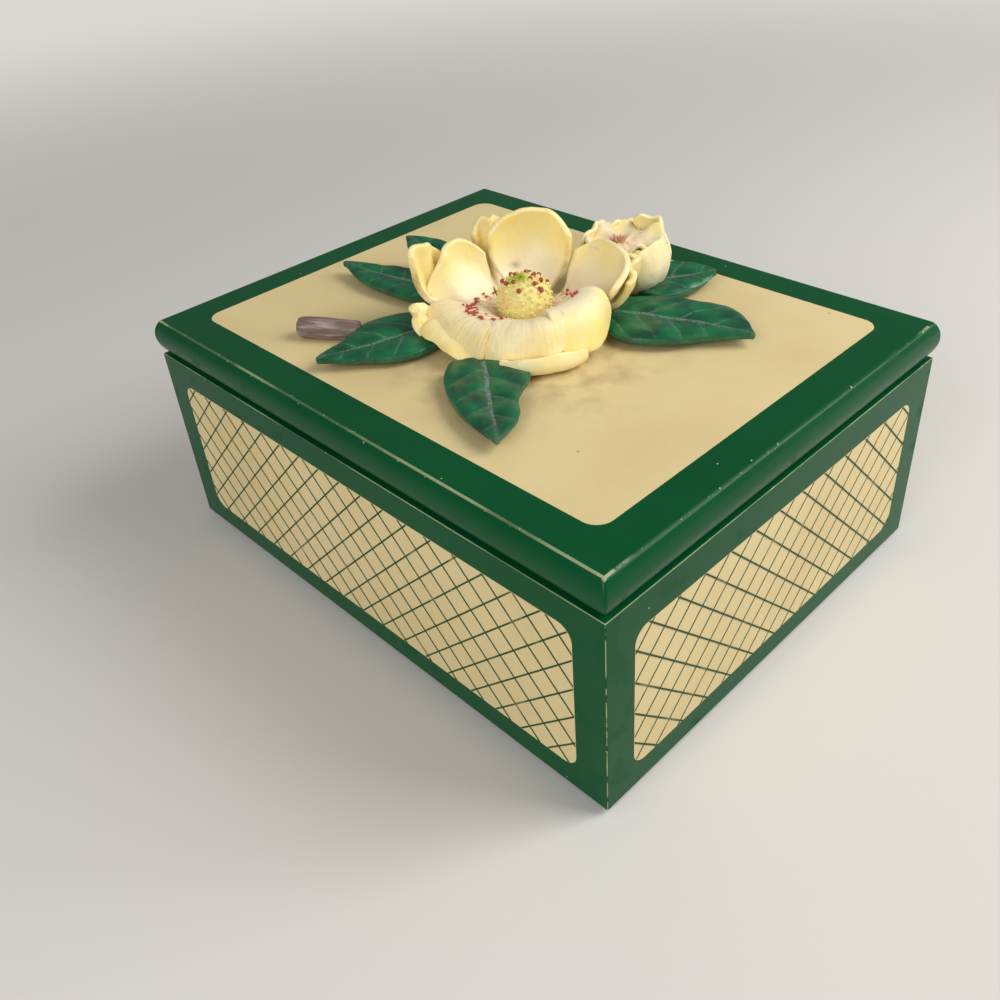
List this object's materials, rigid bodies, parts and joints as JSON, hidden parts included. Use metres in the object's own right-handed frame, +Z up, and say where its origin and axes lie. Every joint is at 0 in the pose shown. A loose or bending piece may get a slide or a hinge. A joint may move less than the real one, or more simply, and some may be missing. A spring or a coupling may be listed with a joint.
{
  "type": "trinket box",
  "caption": "Painted wooden trinket box: hinged bullnose lid with a moulded magnolia and leaves, cream lattice panels in green lacquer, felt-lined inside.",
  "frame": {"origin": "middle of the underside of the base felt that the box stands on", "axes": "+X along the long side, +Y towards the hinged back, +Z up"},
  "size_m": [0.1664, 0.1347, 0.0936],
  "materials": {
    "green_lacquer": "satin dark green lacquer on board, worn pale at the arrises",
    "cream_paper": "matt cream print, varnished, with a fine green lattice on the sides",
    "raw_board": "unpainted board",
    "green_felt": "dark green felt",
    "brass": "lacquered brass",
    "ivory_resin": "cast resin, painted ivory and pale yellow, satin varnish",
    "cone_resin": "cast resin, painted pale yellow with lime and red-brown tips",
    "leaf_resin": "cast resin, painted green, veins dry-brushed grey, satin varnish",
    "bark_resin": "cast resin, painted dark brown, matt"
  },
  "bodies": {
    "box": {"base_felt": "green_felt", "bottom_board": "raw_board", "floor_lining": "green_felt", "hinge_left_case_leaf": "brass", "hinge_left_case_leaf_screw_1": "brass", "hinge_left_case_leaf_screw_2": "brass", "hinge_left_pin": "brass", "hinge_right_case_leaf": "brass", "hinge_right_case_leaf_screw_1": "brass", "hinge_right_case_leaf_screw_2": "brass", "hinge_right_pin": "brass", "lining_back": "green_felt", "lining_front": "green_felt", "lining_left": "green_felt", "lining_right": "green_felt", "panel_back": "cream_paper", "panel_front": "cream_paper", "panel_left": "cream_paper", "panel_right": "cream_paper", "wall_back": "green_lacquer", "wall_front": "green_lacquer", "wall_left": "green_lacquer", "wall_right": "green_lacquer"},
    "lid": {"bud_core": "cone_resin", "bud_petal_1": "ivory_resin", "bud_petal_2": "ivory_resin", "bud_petal_3": "ivory_resin", "bud_petal_4": "ivory_resin", "bud_petal_5": "ivory_resin", "bud_petal_6": "ivory_resin", "hinge_left_lid_leaf": "brass", "hinge_left_lid_leaf_screw_1": "brass", "hinge_left_lid_leaf_screw_2": "brass", "hinge_right_lid_leaf": "brass", "hinge_right_lid_leaf_screw_1": "brass", "hinge_right_lid_leaf_screw_2": "brass", "leaf_back_left": "leaf_resin", "leaf_back_right": "leaf_resin", "leaf_front": "leaf_resin", "leaf_front_left": "leaf_resin", "leaf_left": "leaf_resin", "leaf_right": "leaf_resin", "lid_board": "green_lacquer", "lid_field": "cream_paper", "lid_lining": "green_felt", "outer_petal_back": "ivory_resin", "outer_petal_curl": "ivory_resin", "outer_petal_front": "ivory_resin", "outer_petal_front_left": "ivory_resin", "outer_petal_left": "ivory_resin", "outer_petal_right": "ivory_resin", "petal_back": "ivory_resin", "petal_front": "ivory_resin", "petal_front_left": "ivory_resin", "petal_front_right": "ivory_resin", "petal_left": "ivory_resin", "petal_right": "ivory_resin", "receptacle_cone": "cone_resin", "stem": "bark_resin"}
  },
  "joints": [
    {"name": "lid_hinge", "type": "hinge", "parent": "box", "child": "lid", "pos_m": [0, 0.0665, 0.05745], "axis": [-1, 0, 0], "range_deg": [0, 95]}
  ]
}
